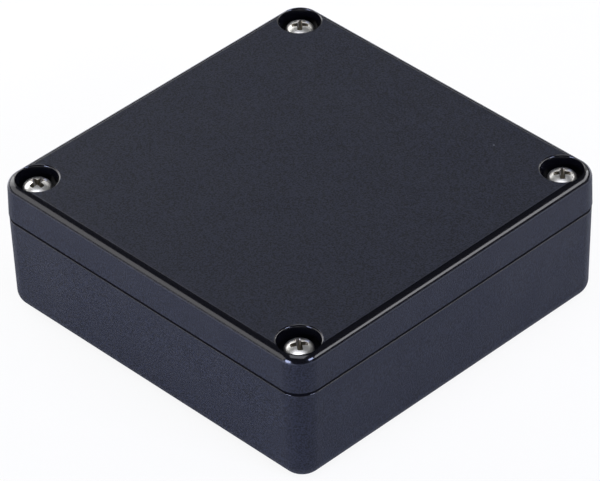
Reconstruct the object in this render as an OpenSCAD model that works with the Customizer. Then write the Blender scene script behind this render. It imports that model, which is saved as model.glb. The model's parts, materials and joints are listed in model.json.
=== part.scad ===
// Square plastic project box: a moulded base and a lid held by four recessed pan head screws.
// Millimetres. The origin is the middle of the underside, +Z is up, +X is right, -Y is front.

/* [Box] */
// Width along X, at the lid's lower edge, where the box is widest
box_w = 80; // [64:1:160]
// Depth along Y, at the lid's lower edge
box_d = 80; // [64:1:160]
// Height of the closed box
box_h = 29; // [27:0.5:60]
// Radius of the upright corners at the lid's lower edge
corner_r = 4.8; // [4.5:0.1:6]
// Thickness of the side walls
wall_t = 2.2; // [2:0.1:2.6]

/* [Lid] */
// Height of the lid, from the parting line to its top
lid_h = 8.2; // [7.6:0.1:12]
// Thickness of the lid's top
lid_t = 2.5; // [2:0.1:3]
// Slope of the lid's sides, in degrees
lid_draft = 1; // [0.5:0.1:2]
// Radius of the rounded edge round the lid's top
lid_fillet = 1.9; // [1:0.1:2.4]
// How far the lid stands proud of the base at the parting line
lid_overhang = 0.1; // [0:0.05:0.3]
// Width of the shadow line between lid and base
seam_gap = 0.2; // [0.1:0.05:0.4]

/* [Base] */
// Slope of the base's sides, in degrees
base_draft = 1.4; // [0.5:0.1:2]
// Radius of the rounded edge round the underside
base_fillet = 3.2; // [1:0.1:3.4]
// Thickness of the floor
floor_t = 2.2; // [2:0.1:3]
// Radius where the floor meets the walls inside
inner_fillet = 1; // [0.5:0.1:1.5]
// Height of the rim that locates the lid
rim_h = 1.6; // [1:0.1:2]
// Thickness of that rim
rim_t = 1; // [0.8:0.1:1.1]
// Clearance between the rim and the lid
rim_clearance = 0.15; // [0.1:0.05:0.25]

/* [Screws] */
// Distance of each screw's axis from the two nearest sides
screw_inset = 5.45; // [5.2:0.05:6.5]
// Radius of the well that each screw head sits in
well_r = 4.05; // [3.4:0.05:4.2]
// Depth of that well
well_depth = 3.2; // [2.8:0.1:4.8]
// Radius of the rounded edge round the well's mouth
well_fillet = 0.4; // [0.2:0.05:0.6]
// Thickness of the lid's plastic round the well
well_wall = 1.5; // [1.2:0.1:2]
// Radius of the screw's thread
thread_r = 1.45; // [1.2:0.05:1.6]
// Length of the screw under its head
screw_len = 13; // [9:0.5:15]
// Radius of the screw's head
head_r = 2.8; // [2.5:0.05:3]
// Height of the screw's head
head_h = 2.3; // [2:0.1:2.6]
// Radius of the head's domed top
crown_r = 5; // [4:0.1:8]
// Radius of the head's rounded edge
head_edge_r = 0.8; // [0.4:0.1:1]
// Reach of the cross recess from its centre, at the head's top
recess_r = 1.8; // [1.4:0.1:2]
// Width of the cross recess's slots
recess_w = 1.05; // [0.8:0.05:1.2]
// Depth of the cross recess
recess_depth = 1.7; // [1.2:0.1:1.9]
// Clearance round the thread in the lid
hole_clearance = 0.25; // [0.15:0.05:0.4]
// Clearance round the thread in the base
bore_clearance = 0.05; // [0.03:0.01:0.08]
// Radius of the pillars in the base that take the screws
pillar_r = 3.8; // [3.4:0.1:4]
// Free depth below the screw's tip
tip_room = 2; // [1:0.5:3]

/* [Board posts and guides] */
// Distance of each board post from the two nearest sides
post_inset = 15; // [14:0.5:20]
// Radius of each board post
post_r = 3; // [2.5:0.1:3.5]
// Height of each board post above the floor
post_h = 4; // [3:0.5:6]
// Radius of the pilot hole in each board post
pilot_r = 1.1; // [0.9:0.05:1.3]
// Depth of the pilot hole
pilot_depth = 4.6; // [2.5:0.1:4.8]
// Thickness of the circuit boards that stand in the wall guides
board_t = 1.6; // [1:0.1:2]
// Distance of each pair of guides from the middle of its wall
guide_offset = 12; // [8:0.5:14]
// Width of each guide rib
guide_rib_w = 1; // [0.8:0.1:1.2]
// How far each guide rib stands out from the wall
guide_rib_d = 1.4; // [1:0.1:2]
// Distance from the guides' tops to the parting line
guide_drop = 2; // [1:0.5:6]

/* [Hidden] */

$fn = 96;
// Chamfer on the two edges beside the shadow line, and on the rim
edge_break = 0.12;
// Straight steps in a quarter-round edge
arc_steps = 12;
// How far a cut runs past the face it opens
past = 1;
// Play above the rim, so that the lid seats on the pillars
rim_play = 0.4;
// Slack between the board's thickness and its guides
guide_slack = 0.2;
// Clearance between the rim's ends and the lid's columns
rim_end_gap = 0.3;
// Length of the screw's point, and the share of its thickness left at the tip
point_len = 1.5;
point_share = 0.45;

parting_z = box_h - lid_h;
// The upright corners' axes, which every level of the walls shares
axis_x = box_w / 2 - corner_r;
axis_y = box_d / 2 - corner_r;
screw_x = box_w / 2 - screw_inset;
screw_y = box_d / 2 - screw_inset;
base_r = corner_r - lid_overhang;
inner_r = base_r - wall_t;
rim_r = inner_r + rim_t;
column_r = well_r + well_wall;
seat_z = box_h - well_depth;
tip_z = seat_z - screw_len;
post_x = box_w / 2 - post_inset;
post_y = box_d / 2 - post_inset;
guide_gap = board_t + guide_slack;
// The edges' radii stop short of the upright corners' axes
base_edge_r = min(base_fillet, base_r - parting_z * tan(base_draft) - 0.3);
lid_edge_r = min(lid_fillet, corner_r - lid_h * tan(lid_draft) - 0.3);

module base() {
    color("#2c2e37")
    difference() {
        union() {
            difference() {
                swept(base_profile());
                difference() {
                    swept(base_cavity_profile());
                    at_screws() cylinder(r = pillar_r, h = parting_z);
                    at_posts() cylinder(r = post_r, h = floor_t + post_h);
                    board_guides();
                }
            }
            locating_rim();
        }
        at_screws() screw_bore();
        at_posts() pilot_hole();
    }
}

module lid() {
    color("#2c2e37")
    difference() {
        union() {
            difference() {
                swept(lid_profile());
                difference() {
                    swept(lid_cavity_profile());
                    at_screws() cylinder(r = column_r, h = box_h);
                }
            }
            at_screws() column_foot();
        }
        at_screws() head_well();
        at_screws() clearance_hole();
    }
}

module screw_front_right() {
    translate([screw_x, -screw_y, seat_z]) screw(55);
}

module screw_front_left() {
    translate([-screw_x, -screw_y, seat_z]) screw(0);
}

module screw_back_right() {
    translate([screw_x, screw_y, seat_z]) screw(45);
}

module screw_back_left() {
    translate([-screw_x, screw_y, seat_z]) screw(45);
}

// A pan head thread-forming screw that stands on z = 0 with its recess turned by angle.
module screw(angle) {
    color("#c8c4b8")
    difference() {
        rotate_extrude() polygon(screw_profile());
        rotate([0, 0, angle]) cross_recess();
    }
}

// A cross recess: two crossing slots whose ends slope in to a round bottom.
module cross_recess() {
    bottom_r = 0.7 * recess_w;
    flare = (recess_r - bottom_r) / recess_depth;
    deep = recess_depth + past;
    translate([0, 0, head_h - recess_depth])
    intersection() {
        cylinder(r1 = bottom_r, r2 = recess_r + past * flare, h = deep);
        union() {
            for (turn = [0, 90]) rotate([0, 0, turn])
                translate([-head_r, -recess_w / 2, 0]) cube([2 * head_r, recess_w, deep]);
            cylinder(r = bottom_r, h = deep);
        }
    }
}

// Half of the screw's outline, as [radius, height]: a pointed shank, a straight rim, its rounded edge
// and the domed top, each running smoothly into the next.
function screw_profile() = let(
    edge_x = head_r - head_edge_r,
    crown_z = head_h - crown_r,
    edge_z = crown_z + sqrt(pow(crown_r - head_edge_r, 2) - pow(edge_x, 2)),
    meet = atan2(edge_z - crown_z, edge_x)
) concat(
    [[0, -screw_len], [thread_r * point_share, -screw_len], [thread_r, point_len - screw_len]],
    [[thread_r, 0], [head_r - edge_break, 0], [head_r, edge_break]],
    arc(edge_x, edge_z, head_edge_r, 0, meet),
    arc(0, crown_z, crown_r, meet, 90, first = 1)
);

// The pillar's bore, open at the top, with room below the screw's tip.
module screw_bore() {
    translate([0, 0, tip_z - tip_room])
        cylinder(r = thread_r + bore_clearance, h = parting_z - tip_z + tip_room + past);
}

module pilot_hole() {
    translate([0, 0, floor_t + post_h - pilot_depth])
        cylinder(r = pilot_r, h = pilot_depth + past);
}

// The foot that seats on the base's pillar and holds the shadow line open.
module column_foot() {
    translate([0, 0, parting_z]) cylinder(r = pillar_r, h = seam_gap + past);
}

module clearance_hole() {
    translate([0, 0, parting_z - past])
        cylinder(r = thread_r + hole_clearance, h = seat_z - parting_z + 2 * past);
}

// The well for a screw head, with a rounded mouth.
module head_well() {
    mouth_r = well_r + well_fillet;
    rotate_extrude() polygon(concat(
        [[0, seat_z], [well_r, seat_z]],
        arc(mouth_r, box_h - well_fillet, well_fillet, 180, 90),
        [[mouth_r, box_h + past], [0, box_h + past]]
    ));
}

// The low rim inside the base's edge. It stops short of the lid's columns.
module locating_rim() {
    difference() {
        swept([
            [inner_r, parting_z - past],
            [rim_r, parting_z - past],
            [rim_r, parting_z + rim_h - edge_break],
            [rim_r - edge_break, parting_z + rim_h],
            [inner_r + edge_break, parting_z + rim_h],
            [inner_r, parting_z + rim_h - edge_break]
        ], solid = false);
        at_screws() translate([0, 0, parting_z])
            cylinder(r = column_r + rim_end_gap, h = rim_h + past);
    }
}

// Upright ribs on the left and right walls, in pairs that hold a board's edge.
module board_guides() {
    rib_h = parting_z - guide_drop;
    reach = box_w / 2 - lid_overhang - wall_t - guide_rib_d;
    for (sx = [-1, 1], sy = [-1, 1], side = [-1, 1]) {
        rib_y = sy * guide_offset + side * (guide_gap + guide_rib_w) / 2;
        translate([sx > 0 ? reach : -reach - guide_rib_d - wall_t, rib_y - guide_rib_w / 2, 0])
            cube([guide_rib_d + wall_t, guide_rib_w, rib_h]);
    }
}

module at_screws() {
    for (sx = [-1, 1], sy = [-1, 1]) translate([sx * screw_x, sy * screw_y, 0]) children();
}

module at_posts() {
    for (sx = [-1, 1], sy = [-1, 1]) translate([sx * post_x, sy * post_y, 0]) children();
}

// Sweeps a wall profile round the box: a quarter turn about each upright corner's axis, and a straight
// run along each side. The profile's points are [distance from the corner's axis, height].
module swept(profile, solid = true) {
    heights = [for (p = profile) p.y];
    low = min(heights);
    for (turn = [0:3]) rotate([0, 0, 90 * turn]) {
        across = turn % 2 == 0 ? axis_x : axis_y;
        along = turn % 2 == 0 ? axis_y : axis_x;
        translate([across, along, 0]) rotate_extrude(angle = 90) polygon(profile);
        translate([across, 0, 0]) rotate([90, 0, 0])
            linear_extrude(2 * along, center = true) polygon(profile);
    }
    if (solid)
        translate([-axis_x, -axis_y, low]) cube([2 * axis_x, 2 * axis_y, max(heights) - low]);
}

// Points along an arc. A first of 1 leaves out the point that an earlier arc ended on.
function arc(x, y, r, from, to, first = 0) = [
    for (i = [first:arc_steps]) let(a = from + (to - from) * i / arc_steps) [x + r * cos(a), y + r * sin(a)]
];

// Distance of the base's outer face from the corner's axis, at a height.
function base_face(z) = base_r - (parting_z - z) * tan(base_draft);

// The same for the lid, which narrows upwards.
function lid_face(z) = corner_r - (z - parting_z) * tan(lid_draft);

function base_profile() = let(
    tangent_z = base_edge_r * (1 - sin(base_draft)),
    centre = base_face(tangent_z) - base_edge_r * cos(base_draft)
) concat(
    [[0, 0]],
    arc(centre, base_edge_r, base_edge_r, -90, -base_draft),
    [[base_r, parting_z - edge_break], [base_r - edge_break, parting_z], [0, parting_z]]
);

function base_cavity_profile() = let(
    foot = base_face(floor_t) - wall_t
) concat(
    [[0, floor_t]],
    arc(foot - inner_fillet, floor_t + inner_fillet, inner_fillet, -90, -base_draft),
    [[inner_r, parting_z], [inner_r, parting_z + past], [0, parting_z + past]]
);

function lid_profile() = let(
    bottom = parting_z + seam_gap,
    tangent_z = box_h - lid_edge_r * (1 - sin(lid_draft)),
    centre = lid_face(tangent_z) - lid_edge_r * cos(lid_draft)
) concat(
    [[0, bottom], [corner_r - edge_break, bottom], [corner_r, bottom + edge_break]],
    arc(centre, box_h - lid_edge_r, lid_edge_r, lid_draft, 90),
    [[0, box_h]]
);

// The lid's inside: a step that clears the rim, then the upper cavity with a rounded ceiling edge.
function lid_cavity_profile() = let(
    step_r = rim_r + rim_clearance,
    step_z = parting_z + rim_h + rim_play,
    ceiling = box_h - lid_t,
    side = lid_face(ceiling) - lid_overhang - wall_t
) concat(
    [[0, parting_z - past], [step_r, parting_z - past], [step_r, step_z], [inner_r, step_z]],
    arc(side - inner_fillet, ceiling - inner_fillet, inner_fillet, lid_draft, 90),
    [[0, ceiling]]
);

base();
lid();
screw_front_right();
screw_front_left();
screw_back_right();
screw_back_left();
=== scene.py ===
# A square black plastic project box with four recessed screws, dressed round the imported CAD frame.
# The meshes are worked out in millimetres and scaled to metres when they are made.
import json
import math

import bmesh
import bpy
from mathutils import Matrix, Vector


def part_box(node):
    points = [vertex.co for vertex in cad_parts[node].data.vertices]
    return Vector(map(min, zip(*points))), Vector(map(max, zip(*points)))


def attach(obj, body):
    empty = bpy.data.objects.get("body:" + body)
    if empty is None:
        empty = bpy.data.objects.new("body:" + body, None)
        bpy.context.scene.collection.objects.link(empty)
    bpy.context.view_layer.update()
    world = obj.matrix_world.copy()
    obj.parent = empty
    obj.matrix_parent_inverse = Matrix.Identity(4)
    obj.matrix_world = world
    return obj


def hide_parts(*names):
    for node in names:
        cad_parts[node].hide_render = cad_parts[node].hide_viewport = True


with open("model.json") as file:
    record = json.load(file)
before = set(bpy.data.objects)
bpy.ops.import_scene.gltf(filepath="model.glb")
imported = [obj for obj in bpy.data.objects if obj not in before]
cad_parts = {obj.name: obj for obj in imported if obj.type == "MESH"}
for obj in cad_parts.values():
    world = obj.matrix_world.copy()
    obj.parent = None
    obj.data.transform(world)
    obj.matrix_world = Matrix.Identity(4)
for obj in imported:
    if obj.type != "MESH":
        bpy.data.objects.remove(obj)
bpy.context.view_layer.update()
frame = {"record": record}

MM = 0.001


def box_mm(node):
    """A CAD node's lowest and highest corner, in millimetres."""
    low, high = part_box(node)
    return low / MM, high / MM


# ---- Sizes -----------------------------------------------------------------------------------------
# In millimetres. Heights and reaches come from the frame, and the rest repeats the CAD's own sizes.

LID_LOW, LID_HIGH = box_mm("lid")
PARTING = LID_LOW.z
TOP = LID_HIGH.z
RIM_TOP = box_mm("base")[1].z
SCREW_TIP = box_mm("screw_front_left")[0].z

# The outline, whose corners turn about four upright axes
CORNER_R = 4.8
LID_OVERHANG = 0.1
BASE_R = CORNER_R - LID_OVERHANG
AXIS_X = LID_HIGH.x - CORNER_R
AXIS_Y = LID_HIGH.y - CORNER_R

# The base's shell and its locating rim
WALL = 2.2
FLOOR = 2.2
BASE_DRAFT = math.radians(1.4)
BASE_FILLET = 3.2
INNER_FILLET = 1.0
INNER_R = BASE_R - WALL
RIM_R = INNER_R + 1.0
RIM_CHAMFER = 0.12
RIM_END_GAP = 0.3

# The lid's shell and its room round the rim
LID_TOP = 2.5
LID_DRAFT = math.radians(1.0)
LID_FILLET = 1.9
RIM_CLEARANCE = 0.15
RIM_PLAY = 0.4

# The seam: a bevelled lip on the base, under a small rounding on the lid
SEAM_GAP = 0.2
BASE_LIP = 0.5
BASE_LIP_ROUND = 0.2
LID_LIP = 0.15

# The wells that hold the screw heads, and the columns and pillars under them
WELL_R = 4.05
WELL_DEPTH = 3.2
WELL_MOUTH = 0.4
WELL_WALL = 1.5
COLUMN_R = WELL_R + WELL_WALL
PILLAR_R = 3.8
SEAT = TOP - WELL_DEPTH
THREAD_R = 1.45
HOLE_R = THREAD_R + 0.25
BORE_R = THREAD_R + 0.05
TIP_ROOM = 2.0

# The board posts and the pairs of ribs between which a board's edge slides
POST_R = 3.0
POST_TOP = FLOOR + 4.0
PILOT_DEPTH = 4.6
GUIDE_RIB = 1.0
GUIDE_REACH = 1.4
GUIDE_GAP = 1.8
GUIDE_OFFSET = 12.0
GUIDE_DROP = 2.0

# How far a cutter passes the face that it cuts, and how far a joined form starts inside its neighbour
PAST = 1.0
INSIDE_FLOOR = 1.0

# Each screw's node and the turn of its cross recess, in degrees
SCREWS = {
    "screw_front_right": 55,
    "screw_front_left": 0,
    "screw_back_right": 45,
    "screw_back_left": 45,
}

CORNER_STEPS = 28
ARC_STEPS = 14
ROUND_STEPS = 96

# Material slots: those of the two mouldings, then those of the screws. The seam's slot is painted shade
TEXTURED, EDGE, POLISHED, INSIDE, SEAM_SHADE = 0, 1, 2, 3, 4
# The recess slot's darker plate is painted shade
PLATED, RECESS_SHADE = 0, 1


# ---- Materials -------------------------------------------------------------------------------------

class Nodes:
    """A short way to build a material's node tree."""

    def __init__(self, name):
        self.material = bpy.data.materials.new(name)
        self.material.use_nodes = True
        self.tree = self.material.node_tree
        self.tree.nodes.clear()
        self.output = self.add("ShaderNodeOutputMaterial")

    def add(self, kind, links=None, **settings):
        """Adds a node. settings are its properties; links are its inputs, as values or other outputs."""
        node = self.tree.nodes.new(kind)
        for key, value in settings.items():
            setattr(node, key, value)
        for key, value in (links or {}).items():
            if isinstance(value, bpy.types.NodeSocket):
                self.tree.links.new(value, node.inputs[key])
            else:
                node.inputs[key].default_value = value
        return node

    def place(self):
        return self.add("ShaderNodeTexCoord").outputs["Object"]

    def noise(self, size_mm, detail=2.0, roughness=0.5):
        links = {
            "Vector": self.place(),
            "Scale": 1 / (size_mm * MM),
            "Detail": detail,
            "Roughness": roughness,
        }
        return self.add("ShaderNodeTexNoise", links).outputs["Fac"]

    def math(self, operation, first, second=0.0):
        return self.add("ShaderNodeMath", {0: first, 1: second}, operation=operation).outputs[0]

    def remap(self, value, low, high, to_low=0.0, to_high=1.0):
        links = {"Value": value, "From Min": low, "From Max": high, "To Min": to_low, "To Max": to_high}
        return self.add("ShaderNodeMapRange", links, clamp=True).outputs["Result"]

    def blend(self, share, first, second):
        node = self.add("ShaderNodeMix", data_type="RGBA")
        for index, value in ((0, share), (6, first), (7, second)):
            if isinstance(value, bpy.types.NodeSocket):
                self.tree.links.new(value, node.inputs[index])
            else:
                node.inputs[index].default_value = value
        return node.outputs[2]

    def bump(self, height, depth_mm, strength=1.0, under=None):
        links = {"Height": height, "Strength": strength, "Distance": depth_mm * MM}
        if under:
            links["Normal"] = under
        return self.add("ShaderNodeBump", links).outputs["Normal"]

    def surface(self, shader):
        self.tree.links.new(shader, self.output.inputs["Surface"])
        return self.material

    def principled(self, links):
        return self.surface(self.add("ShaderNodeBsdfPrincipled", links).outputs[0])


def rgb(red, green, blue):
    return (red, green, blue, 1.0)


def specks(nodes, spacing_mm, size_mm, share):
    """A few small round specks: 1 inside a speck, 0 outside."""
    links = {"Vector": nodes.place(), "Scale": 1 / (spacing_mm * MM), "Randomness": 1.0}
    cells = nodes.add("ShaderNodeTexVoronoi", links, feature="F1")
    near = nodes.remap(cells.outputs["Distance"], 0.5 * size_mm / spacing_mm, 0.2 * size_mm / spacing_mm)
    chance = nodes.add("ShaderNodeSeparateColor", {"Color": cells.outputs["Color"]}).outputs["Red"]
    return nodes.math("MULTIPLY", near, nodes.math("LESS_THAN", chance, share))


POLISHED_BLACK = rgb(0.003, 0.003, 0.0045)
GRAIN_DARK = rgb(0.0035, 0.0042, 0.0075)
GRAIN_LIGHT = rgb(0.0175, 0.0205, 0.033)
GRAIN_SIZE = 0.30
GRAIN_DEPTH = 0.08
GRAIN_STRENGTH = 0.9


def spark_grain(nodes):
    """The height of the spark-eroded grain, from 0 to 1."""
    return nodes.noise(GRAIN_SIZE, detail=2.0, roughness=0.6)


def grain_shade(nodes, grain):
    return nodes.blend(nodes.remap(grain, 0.40, 0.60), GRAIN_DARK, GRAIN_LIGHT)


def faint_ripple(nodes):
    """The slight unevenness of a polished moulded face."""
    return nodes.bump(nodes.noise(1.4, detail=2.0), 0.01, 0.4)


def polish(nodes):
    """The roughness of a polished moulded face."""
    return nodes.remap(nodes.noise(0.5), 0.3, 0.7, 0.10, 0.16)


def textured_plastic():
    """The faces: a fine spark-eroded grain that scatters light, with a few specks of dust."""
    nodes = Nodes("plastic_textured")
    grain = spark_grain(nodes)
    dust = specks(nodes, spacing_mm=5.0, size_mm=0.45, share=0.1)
    links = {
        "Base Color": nodes.blend(dust, grain_shade(nodes, grain), rgb(0.12, 0.125, 0.14)),
        "Roughness": nodes.remap(nodes.noise(9.0, detail=3.0), 0.3, 0.7, 0.46, 0.54),
        "Specular IOR Level": 0.22,
        "Normal": nodes.bump(grain, GRAIN_DEPTH, GRAIN_STRENGTH),
    }
    return nodes.principled(links)


def edge_plastic():
    """The rounded edges: polished where they turn, with the grain fading in towards the faces.
    lean is how far a face leans away from straight up."""
    nodes = Nodes("plastic_edge")
    normal = nodes.add("ShaderNodeTexCoord").outputs["Normal"]
    upward = nodes.add("ShaderNodeSeparateXYZ", {"Vector": normal}).outputs["Z"]
    lean = nodes.math("ARCCOSINE", upward)
    top = nodes.remap(lean, math.radians(15), math.radians(4))
    side = nodes.remap(lean, math.radians(64), math.radians(79))
    texture = nodes.math("MAXIMUM", top, side)
    grain = spark_grain(nodes)
    height = nodes.math("MULTIPLY", grain, texture)
    rough = nodes.add("ShaderNodeMapRange", {"Value": texture, "To Min": polish(nodes), "To Max": 0.5})
    links = {
        "Base Color": nodes.blend(texture, POLISHED_BLACK, grain_shade(nodes, grain)),
        "Roughness": rough.outputs["Result"],
        "Normal": nodes.bump(height, GRAIN_DEPTH, GRAIN_STRENGTH, under=faint_ripple(nodes)),
    }
    return nodes.principled(links)


def polished_plastic():
    """The screw wells and the rounding of the base's lip: the same plastic without the grain."""
    nodes = Nodes("plastic_polished")
    links = {
        "Base Color": POLISHED_BLACK,
        "Roughness": polish(nodes),
        "Normal": faint_ripple(nodes),
    }
    return nodes.principled(links)


def inner_plastic():
    """The hidden faces: plain moulded plastic, a little duller than the polished edges."""
    nodes = Nodes("plastic_inside")
    cloud = nodes.noise(3.0, detail=3.0)
    links = {
        "Base Color": nodes.blend(cloud, rgb(0.010, 0.011, 0.015), rgb(0.016, 0.017, 0.022)),
        "Roughness": nodes.remap(cloud, 0.3, 0.7, 0.30, 0.40),
        "Normal": nodes.bump(nodes.noise(0.3), 0.01, 0.3),
    }
    return nodes.principled(links)


def seam_painted_shade():
    """The lips that face each other across the seam, painted as shade: nearly black, rough and barely
    reflective, so that no light comes back out of the gap.
    """
    nodes = Nodes("plastic_seam_painted_shade")
    cloud = nodes.noise(1.0)
    links = {
        "Base Color": nodes.blend(cloud, rgb(0.0015, 0.0015, 0.0025), rgb(0.003, 0.003, 0.005)),
        "Roughness": nodes.remap(cloud, 0.3, 0.7, 0.7, 0.8),
        "Specular IOR Level": 0.08,
    }
    return nodes.principled(links)


def plated_steel(name, dark, light, roughest):
    """Nickel plate over pressed steel, with faint flow marks. roughest is the marks' highest roughness."""
    nodes = Nodes(name)
    marks = nodes.noise(0.35, detail=3.0, roughness=0.6)
    links = {
        "Base Color": nodes.blend(marks, dark, light),
        "Metallic": 1.0,
        "Roughness": nodes.remap(marks, 0.3, 0.7, roughest - 0.12, roughest),
        "Normal": nodes.bump(marks, 0.01, 0.4),
    }
    return nodes.principled(links)


PLASTIC = [textured_plastic(), edge_plastic(), polished_plastic(), inner_plastic(), seam_painted_shade()]
STEEL = [
    plated_steel("nickel_plate", rgb(0.84, 0.82, 0.77), rgb(0.95, 0.94, 0.90), 0.40),
    # The recess walls have the same plate as the head, darkened here as painted shade for the occlusion
    # inside the cross recess
    plated_steel("nickel_recess_painted_shade", rgb(0.18, 0.16, 0.12), rgb(0.34, 0.31, 0.25), 0.42),
]


# ---- Mesh helpers ----------------------------------------------------------------------------------

def arc(x, z, radius, start, end, steps=ARC_STEPS):
    """Points along an arc from start to end, both in degrees."""
    turns = [math.radians(start + (end - start) * i / steps) for i in range(steps + 1)]
    return [(x + radius * math.cos(a), z + radius * math.sin(a)) for a in turns]


def rounded_ring(reach, z):
    """The box's outline at height z, as far as reach from the upright axes of its corners."""
    points = []
    for quarter, (sx, sy) in enumerate(((1, 1), (-1, 1), (-1, -1), (1, -1))):
        for i in range(CORNER_STEPS + 1):
            a = math.radians(90 * (quarter + i / CORNER_STEPS))
            points.append((sx * AXIS_X + reach * math.cos(a), sy * AXIS_Y + reach * math.sin(a), z))
    return points


def circle_ring(x, y, radius, z):
    turns = [2 * math.pi * i / ROUND_STEPS for i in range(ROUND_STEPS)]
    return [(x + radius * math.cos(a), y + radius * math.sin(a), z) for a in turns]


def add_piece(name, bm, materials):
    """Turns a bmesh into an object in the scene."""
    bmesh.ops.recalc_face_normals(bm, faces=bm.faces)
    mesh = bpy.data.meshes.new(name)
    for material in materials:
        mesh.materials.append(material)
    bm.to_mesh(mesh)
    bm.free()
    piece = bpy.data.objects.new(name, mesh)
    bpy.context.scene.collection.objects.link(piece)
    return piece


def mesh_object(name, rings, slots, closed=False, materials=PLASTIC):
    """A solid skinned over rings of points, capped at both ends, or joined end to end if closed.
    slots gives the material slot of each band, with the caps' slots first and last."""
    bm = bmesh.new()
    loops = [[bm.verts.new(Vector(p) * MM) for p in ring] for ring in rings]
    count = len(loops[0])
    bands = list(zip(loops, loops[1:]))
    if closed:
        bands.append((loops[-1], loops[0]))
    for band, (low, high) in enumerate(bands):
        for i in range(count):
            j = (i + 1) % count
            face = bm.faces.new((low[i], low[j], high[j], high[i]))
            face.material_index = slots[band if closed else band + 1]
    if not closed:
        bm.faces.new(loops[0][::-1]).material_index = slots[0]
        bm.faces.new(loops[-1]).material_index = slots[-1]
    return add_piece(name, bm, materials)


def swept(name, profile, slots, closed=False):
    """A profile of (reach, height) points carried round the box's outline."""
    return mesh_object(name, [rounded_ring(r, z) for r, z in profile], slots, closed)


def turned(name, x, y, profile, slots, materials=PLASTIC):
    """A profile of (radius, height) points turned about an upright axis."""
    return mesh_object(name, [circle_ring(x, y, r, z) for r, z in profile], slots, materials=materials)


def block(name, low, high, slot):
    """A plain cutter from one corner to the other."""
    ring = [(low[0], low[1]), (high[0], low[1]), (high[0], high[1]), (low[0], high[1])]
    rings = [[(x, y, z) for x, y in ring] for z in (low[2], high[2])]
    return mesh_object(name, rings, [slot] * 3)


def combine(piece, operation, tools):
    """Joins, cuts or keeps in place, and deletes the tools."""
    for tool in tools:
        modifier = piece.modifiers.new("combine", "BOOLEAN")
        modifier.object = tool
        modifier.operation = operation
        modifier.solver = "MANIFOLD"
        graph = bpy.context.evaluated_depsgraph_get()
        result = bpy.data.meshes.new_from_object(piece.evaluated_get(graph))
        piece.modifiers.clear()
        old, piece.data = piece.data, result
        bpy.data.meshes.remove(old)
        bpy.data.objects.remove(tool)
    piece.data.name = piece.name
    return piece


def at_screws():
    centres = [(low + high) / 2 for low, high in (box_mm(name) for name in SCREWS)]
    return [(c.x, c.y) for c in centres]


def finish_surface(piece, crease=30):
    """Shades a piece smooth between its creases, with flat faces kept flat."""
    piece.data.shade_smooth()
    piece.data.set_sharp_from_angle(angle=math.radians(crease))
    normals = piece.modifiers.new("normals", "WEIGHTED_NORMAL")
    normals.mode = "FACE_AREA"
    normals.keep_sharp = True


# ---- Box -------------------------------------------------------------------------------------------

def base_face(z):
    return BASE_R - (PARTING - z) * math.tan(BASE_DRAFT)


def lid_face(z):
    return CORNER_R - (z - PARTING) * math.tan(LID_DRAFT)


def base_outside():
    draft = math.degrees(BASE_DRAFT)
    tangent = BASE_FILLET * (1 - math.sin(BASE_DRAFT))
    centre = base_face(tangent) - BASE_FILLET * math.cos(BASE_DRAFT)
    foot = arc(centre, BASE_FILLET, BASE_FILLET, -90, -draft)
    lip = arc(BASE_R - BASE_LIP_ROUND, PARTING - BASE_LIP, BASE_LIP_ROUND, 0, 45, 5)
    rise = PARTING - lip[-1][1]
    lip.append((lip[-1][0] - rise, PARTING))
    # The bevel's slope takes the seam's material: painted shade for the shadow under the lid
    slots = [TEXTURED] * len(foot) + [TEXTURED] + [POLISHED] * (len(lip) - 2) + [SEAM_SHADE, INSIDE]
    return swept("base", foot + lip, slots)


def base_hollow():
    foot = base_face(FLOOR) - WALL
    draft = math.degrees(BASE_DRAFT)
    profile = arc(foot - INNER_FILLET, FLOOR + INNER_FILLET, INNER_FILLET, -90, -draft, 8)
    profile += [(INNER_R, PARTING), (INNER_R, PARTING + PAST)]
    return swept("hollow", profile, [INSIDE] * (len(profile) + 1))


def board_guides():
    """Ribs up the two side walls, in pairs."""
    reach = LID_HIGH.x - LID_OVERHANG - WALL
    guides = []
    for sx in (-1, 1):
        for sy in (-1, 1):
            for side in (-1, 1):
                y = sy * GUIDE_OFFSET + side * (GUIDE_GAP + GUIDE_RIB) / 2
                x = sorted((sx * (reach - GUIDE_REACH), sx * (reach + WALL)))
                low = (x[0], y - GUIDE_RIB / 2, 0)
                high = (x[1], y + GUIDE_RIB / 2, PARTING - GUIDE_DROP)
                guides.append(block("guide", low, high, INSIDE))
    return guides


def at_posts():
    """The board posts' places and the radius of their pilot holes, as the record states them."""
    mount = next(m for m in frame["record"]["mounts"] if m["name"] == "board_posts")
    x = mount["dims"]["spacing_x_mm"] / 2
    y = mount["dims"]["spacing_y_mm"] / 2
    return [(sx * x, sy * y) for sx in (-1, 1) for sy in (-1, 1)], mount["dims"]["hole_r_mm"]


def cylinders(places, radius, low, high, slot=INSIDE):
    return [turned("post", x, y, ((radius, low), (radius, high)), [slot] * 3) for x, y in places]


def locating_rim():
    """The rim that stands on the wall's inner edge and stops clear of the lid's columns."""
    profile = [
        (INNER_R, PARTING - PAST),
        (RIM_R, PARTING - PAST),
        (RIM_R, RIM_TOP - RIM_CHAMFER),
        (RIM_R - RIM_CHAMFER, RIM_TOP),
        (INNER_R + RIM_CHAMFER, RIM_TOP),
        (INNER_R, RIM_TOP - RIM_CHAMFER),
    ]
    rim = swept("rim", profile, [INSIDE] * len(profile), closed=True)
    ends = cylinders(at_screws(), COLUMN_R + RIM_END_GAP, PARTING - PAST / 2, RIM_TOP + PAST)
    return combine(rim, "DIFFERENCE", ends)


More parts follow.
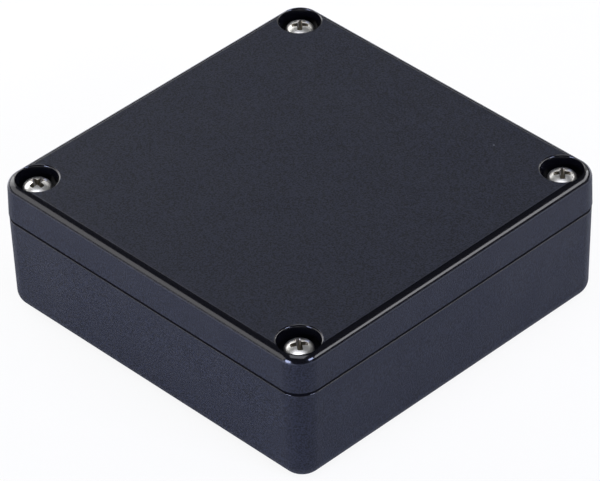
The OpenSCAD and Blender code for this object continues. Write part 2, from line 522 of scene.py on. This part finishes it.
def build_base():
    post_places, pilot_r = at_posts()
    hollow = base_hollow()
    pillars = cylinders(at_screws(), PILLAR_R, INSIDE_FLOOR, PARTING)
    posts = cylinders(post_places, POST_R, INSIDE_FLOOR, POST_TOP)
    combine(hollow, "DIFFERENCE", pillars + posts + board_guides())
    base = combine(base_outside(), "DIFFERENCE", [hollow])
    combine(base, "UNION", [locating_rim()])
    bores = cylinders(at_screws(), BORE_R, SCREW_TIP - TIP_ROOM, PARTING + PAST)
    pilots = cylinders(post_places, pilot_r, POST_TOP - PILOT_DEPTH, POST_TOP + PAST)
    return combine(base, "DIFFERENCE", bores + pilots)


def lid_outside():
    draft = math.degrees(LID_DRAFT)
    bottom = PARTING + SEAM_GAP
    tangent = TOP - LID_FILLET * (1 - math.sin(LID_DRAFT))
    centre = lid_face(tangent) - LID_FILLET * math.cos(LID_DRAFT)
    lip = arc(CORNER_R - LID_LIP, bottom + LID_LIP, LID_LIP, -90, 0, 6)
    edge = arc(centre, TOP - LID_FILLET, LID_FILLET, draft, 90, 24)
    side = [TEXTURED] * 4
    top = [TEXTURED] * 2
    # The lid's lower lip takes the seam's material: painted shade for the shadow in the gap
    slots = [INSIDE] + [SEAM_SHADE] * (len(lip) - 1) + side + [EDGE] * (len(edge) - 5) + top
    return swept("lid", lip + edge, slots)


def lid_hollow():
    step_r = RIM_R + RIM_CLEARANCE
    step = RIM_TOP + RIM_PLAY
    ceiling = TOP - LID_TOP
    side = lid_face(ceiling) - LID_OVERHANG - WALL
    profile = [(step_r, PARTING - PAST), (step_r, step), (INNER_R, step)]
    profile += arc(side - INNER_FILLET, ceiling - INNER_FILLET, INNER_FILLET, 1, 90, 8)
    return swept("hollow", profile, [INSIDE] * (len(profile) + 1))


def head_well(x, y):
    """The cutter for one well, with its rounded mouth."""
    mouth_r = WELL_R + WELL_MOUTH
    mouth = arc(mouth_r, TOP - WELL_MOUTH, WELL_MOUTH, 180, 90, 10)
    profile = [(WELL_R, SEAT)] + mouth + [(mouth_r, TOP + PAST)]
    return turned("well", x, y, profile, [POLISHED] * 7 + [EDGE] * (len(profile) - 6))


def build_lid():
    columns = cylinders(at_screws(), COLUMN_R, PARTING - 2 * PAST, TOP)
    hollow = combine(lid_hollow(), "DIFFERENCE", columns)
    lid = combine(lid_outside(), "DIFFERENCE", [hollow])
    combine(lid, "UNION", cylinders(at_screws(), PILLAR_R, PARTING, SEAT - PAST))
    combine(lid, "DIFFERENCE", [head_well(x, y) for x, y in at_screws()])
    return combine(lid, "DIFFERENCE", cylinders(at_screws(), HOLE_R, PARTING - PAST, SEAT + PAST, POLISHED))


# ---- Screws ----------------------------------------------------------------------------------------

# The head's rounded edge, its crown and the small bevel round its seat
HEAD_EDGE = 0.8
CROWN_R = 5.0
SEAT_BEVEL = 0.12

# The cross recess, whose slots widen upwards: their half widths are shares of RECESS_WIDTH
RECESS_R = 1.8
RECESS_WIDTH = 1.05
RECESS_DEPTH = 1.7
RECESS_EYE_R = 0.6
RECESS_FLOOR_SHARE = 0.32
RECESS_MOUTH_SHARE = 0.54
RECESS_END_SHARE = 0.6
RECESS_EASE = 0.3
EYE_TAPER = 0.1
EYE_FLARE = 0.12
EYE_DROP = 0.1

# The thread, which runs out over RUNOUT below the neck and shrinks over POINT to a share of itself
PITCH = 1.3
THREAD_CORE = 0.98
THREAD_STEPS = 40
NECK = 0.4
RUNOUT = 0.6
POINT = 1.5
TIP_SHARE = 0.45
SHANK_OVERLAP = 0.3

# One turn of the thread: how far along the pitch, and how far from its core to its crest
THREAD_FORM = ((0.0, 0.0), (0.34, 0.0), (0.47, 1.0), (0.53, 1.0), (0.66, 0.0))


def head_profile(radius, height):
    """Half the head's outline above its seat: a straight rim, a rounded edge and a domed top."""
    edge_x = radius - HEAD_EDGE
    crown = height - CROWN_R
    edge_z = crown + math.sqrt((CROWN_R - HEAD_EDGE) ** 2 - edge_x ** 2)
    meet = math.degrees(math.atan2(edge_z - crown, edge_x))
    foot = [(radius - SEAT_BEVEL, 0), (radius, SEAT_BEVEL)]
    edge = arc(edge_x, edge_z, HEAD_EDGE, 0, meet, 10)
    dome = arc(0, crown, CROWN_R, meet, 89.5, 12)[1:]
    return foot + edge + dome


def recess_cutter(centre, depth_z, top_z, turn):
    """The two crossing slots of a cross recess, narrowing downwards, and the round eye between them."""
    flare = (RECESS_R - RECESS_EYE_R) / RECESS_DEPTH
    levels = (
        (depth_z, RECESS_EYE_R, RECESS_WIDTH * RECESS_FLOOR_SHARE),
        (top_z, RECESS_EYE_R + flare * (top_z - depth_z), RECESS_WIDTH * RECESS_MOUTH_SHARE),
    )
    slots = []
    for quarter in (0, 90):
        angle = math.radians(turn + quarter)
        along = Vector((math.cos(angle), math.sin(angle), 0))
        across = Vector((-along.y, along.x, 0))
        rings = []
        for z, reach, half in levels:
            middle = Vector((centre.x, centre.y, z))
            ease = reach - half * RECESS_EASE
            end = half * RECESS_END_SHARE
            corners = [(reach, -end), (reach, end), (ease, half), (-ease, half)]
            corners += [(-reach, end), (-reach, -end), (-ease, -half), (ease, -half)]
            rings.append([middle + along * u + across * v for u, v in corners])
        # The cutter's faces become the recess walls, in the darker plate that paints the recess's shade
        slots.append(mesh_object("slot", rings, [RECESS_SHADE] * 3, materials=STEEL))
    profile = ((RECESS_EYE_R - EYE_TAPER, depth_z - EYE_DROP), (RECESS_EYE_R + EYE_FLARE, top_z))
    eye = turned("eye", centre.x, centre.y, profile, [RECESS_SHADE] * 3, STEEL)
    return combine(slots[0], "UNION", [slots[1], eye])


def thread_radius(z, tip, seat, crest):
    """The shank's radius at a height: the thread runs out under the head and shrinks towards the tip."""
    point = min(1.0, (z - tip) / POINT)
    runout = min(1.0, max(0.0, (seat - NECK - z) / RUNOUT))
    taper = TIP_SHARE + (1 - TIP_SHARE) * point
    return (THREAD_CORE + (THREAD_R - THREAD_CORE) * crest * point * runout) * taper


def shank(centre, tip, seat, top):
    """A helical thread from the tip to the head, as a closed mesh that ends inside the head."""
    rows = int((top - tip) / PITCH) + 2
    bm = bmesh.new()
    columns = []
    for i in range(THREAD_STEPS):
        angle = 2 * math.pi * i / THREAD_STEPS
        column = []
        for row in range(-1, rows):
            for share, crest in THREAD_FORM:
                z = tip + PITCH * (row + share + i / THREAD_STEPS)
                z = min(max(z, tip), top)
                radius = thread_radius(z, tip, seat, crest)
                x = centre.x + radius * math.cos(angle)
                y = centre.y + radius * math.sin(angle)
                column.append(bm.verts.new(Vector((x, y, z)) * MM))
        columns.append(column)
    for i, column in enumerate(columns):
        wraps = i + 1 == THREAD_STEPS
        beside = columns[0][len(THREAD_FORM):] if wraps else columns[i + 1]
        for k in range(min(len(column), len(beside)) - 1):
            bm.faces.new((column[k], beside[k], beside[k + 1], column[k + 1]))
    bmesh.ops.remove_doubles(bm, verts=bm.verts, dist=1e-8)
    bmesh.ops.dissolve_degenerate(bm, edges=bm.edges, dist=1e-8)
    bmesh.ops.holes_fill(bm, edges=bm.edges)
    return add_piece("shank", bm, STEEL)


def build_screw(node, turn):
    low, high = box_mm(node)
    centre = (low + high) / 2
    radius = (high.x - low.x) / 2
    profile = [(r, SEAT + z) for r, z in head_profile(radius, high.z - SEAT)]
    head = turned(node, centre.x, centre.y, profile, [PLATED] * (len(profile) + 1), STEEL)
    combine(head, "UNION", [shank(centre, low.z, SEAT, SEAT + SHANK_OVERLAP)])
    recess = recess_cutter(centre, high.z - RECESS_DEPTH, high.z + PAST / 2, turn)
    return combine(head, "DIFFERENCE", [recess])


# ---- Assembly --------------------------------------------------------------------------------------

for node, build in (("base", build_base), ("lid", build_lid)):
    piece = build()
    piece.name = node + "_moulding"
    finish_surface(piece)
    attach(piece, node)
    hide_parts(node)

for node, turn in SCREWS.items():
    piece = build_screw(node, turn)
    piece.name = node + "_threaded"
    finish_surface(piece)
    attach(piece, node)
    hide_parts(node)


# ---- Studio ----------------------------------------------------------------------------------------

CENTRE = Vector((0, 0, TOP / 2)) * MM

# How much of the floor is white of its own to the camera, and the strength of the room's own light
OWN_WHITE = 0.9
ROOM = 0.06

# Azimuth, elevation, distance in metres, width and height in degrees, radiance and colour.
# The lamps make the bright spots on the corner, the strips the light lines along the lid's edges,
# the panel and the backdrop the soft light from behind, and the ceiling the light on the screw heads.
LIGHTS = {
    "lamp_left": (-92, 13, 2.0, (21, 17), 14, (0.88, 0.98, 1.48)),
    "lamp_right": (8, 28, 2.0, (19, 15), 13, (0.88, 0.98, 1.48)),
    "strip_left": (-150, 23, 0.42, (84, 31), 1.9, (1.0, 0.99, 1.02)),
    "strip_right": (56, 25, 0.42, (64, 17), 4.6, (1.0, 1.0, 1.04)),
    "panel_left": (180, 23, 0.30, (40, 40), 1.3, (1, 1, 1)),
    "ceiling": (-58, 78, 1.6, (44, 30), 2.4, (0.98, 1.0, 1.10)),
    "backdrop": (136, 28, 0.40, (90, 26), 0.9, (1, 1, 1)),
}


def floor_material():
    """A white floor that keeps the shadow: part lit, part white of its own to the camera."""
    nodes = Nodes("studio_floor")
    seen = nodes.add("ShaderNodeLightPath").outputs["Is Camera Ray"]
    share = nodes.math("MULTIPLY", seen, OWN_WHITE)
    pale = nodes.blend(nodes.noise(4.0), rgb(0.86, 0.86, 0.87), rgb(0.90, 0.90, 0.91))
    paper = nodes.add("ShaderNodeBsdfDiffuse", {"Color": pale})
    white = nodes.add("ShaderNodeEmission", {"Color": rgb(1, 1, 1), "Strength": 1.0})
    mixed = nodes.add("ShaderNodeMixShader", {0: share, 1: paper.outputs[0], 2: white.outputs[0]})
    return nodes.surface(mixed.outputs[0])


def build_floor(radius=3.0, drop=0.05):
    bm = bmesh.new()
    bmesh.ops.create_circle(bm, cap_ends=True, segments=64, radius=radius)
    bmesh.ops.translate(bm, vec=(0, 0, -drop * MM), verts=bm.verts)
    mesh = bpy.data.meshes.new("studio_floor")
    bm.to_mesh(mesh)
    bm.free()
    mesh.materials.append(floor_material())
    floor = bpy.data.objects.new("studio_floor", mesh)
    bpy.context.scene.collection.objects.link(floor)


def build_world():
    """A dim, even room that looks white to the camera."""
    world = bpy.data.worlds.new("studio")
    bpy.context.scene.world = world
    world.use_nodes = True
    tree = world.node_tree
    tree.nodes.clear()
    path = tree.nodes.new("ShaderNodeLightPath")
    room = tree.nodes.new("ShaderNodeBackground")
    room.inputs["Color"].default_value = rgb(0.95, 0.97, 1.0)
    room.inputs["Strength"].default_value = ROOM
    white = tree.nodes.new("ShaderNodeBackground")
    white.inputs["Color"].default_value = rgb(1, 1, 1)
    mix = tree.nodes.new("ShaderNodeMixShader")
    output = tree.nodes.new("ShaderNodeOutputWorld")
    tree.links.new(path.outputs["Is Camera Ray"], mix.inputs[0])
    tree.links.new(room.outputs[0], mix.inputs[1])
    tree.links.new(white.outputs[0], mix.inputs[2])
    tree.links.new(mix.outputs[0], output.inputs[0])


def softbox(name, azimuth, elevation, distance, spread, radiance, colour):
    """An area light that faces the box. azimuth turns from +X towards +Y; spread is the width and height
    that the light spans as seen from the box, in degrees; its power follows from its size and radiance."""
    turn = math.radians(azimuth)
    lift = math.radians(elevation)
    level = math.cos(lift)
    direction = Vector((level * math.cos(turn), level * math.sin(turn), math.sin(lift)))
    light = bpy.data.lights.new(name, "AREA")
    light.shape = "RECTANGLE"
    light.size, light.size_y = (2 * distance * math.tan(math.radians(angle / 2)) for angle in spread)
    light.energy = radiance * math.pi * light.size * light.size_y
    light.color = colour
    lamp = bpy.data.objects.new(name, light)
    lamp.location = CENTRE + direction * distance
    lamp.rotation_euler = (-direction).to_track_quat("-Z", "Y").to_euler()
    lamp.visible_camera = False
    bpy.context.scene.collection.objects.link(lamp)
    return lamp


def build_camera():
    """The photograph's viewpoint: a long lens, turned round the box and looking down on it."""
    azimuth = math.radians(46.145)
    elevation = math.radians(38.013)
    roll = math.radians(-1.738)
    distance = 0.93078
    back = Vector((
        math.sin(azimuth) * math.cos(elevation),
        -math.cos(azimuth) * math.cos(elevation),
        math.sin(elevation),
    ))
    right = Vector((math.cos(azimuth), math.sin(azimuth), 0))
    up = back.cross(right)
    across = right * math.cos(roll) + up * math.sin(roll)
    above = up * math.cos(roll) - right * math.sin(roll)
    camera = bpy.data.cameras.new("camera")
    camera.sensor_width = 36
    camera.lens = 297.47
    camera.shift_x = -0.0019
    camera.shift_y = -0.0100
    camera.clip_start = 0.05
    camera.clip_end = 20
    viewer = bpy.data.objects.new("camera", camera)
    turn = Matrix((across, above, back)).transposed().to_4x4()
    viewer.matrix_world = Matrix.Translation(CENTRE + back * distance) @ turn
    bpy.context.scene.collection.objects.link(viewer)
    bpy.context.scene.camera = viewer


build_floor()
build_world()
for name, setting in LIGHTS.items():
    softbox(name, *setting)
build_camera()
bpy.context.scene.view_settings.view_transform = "Standard"
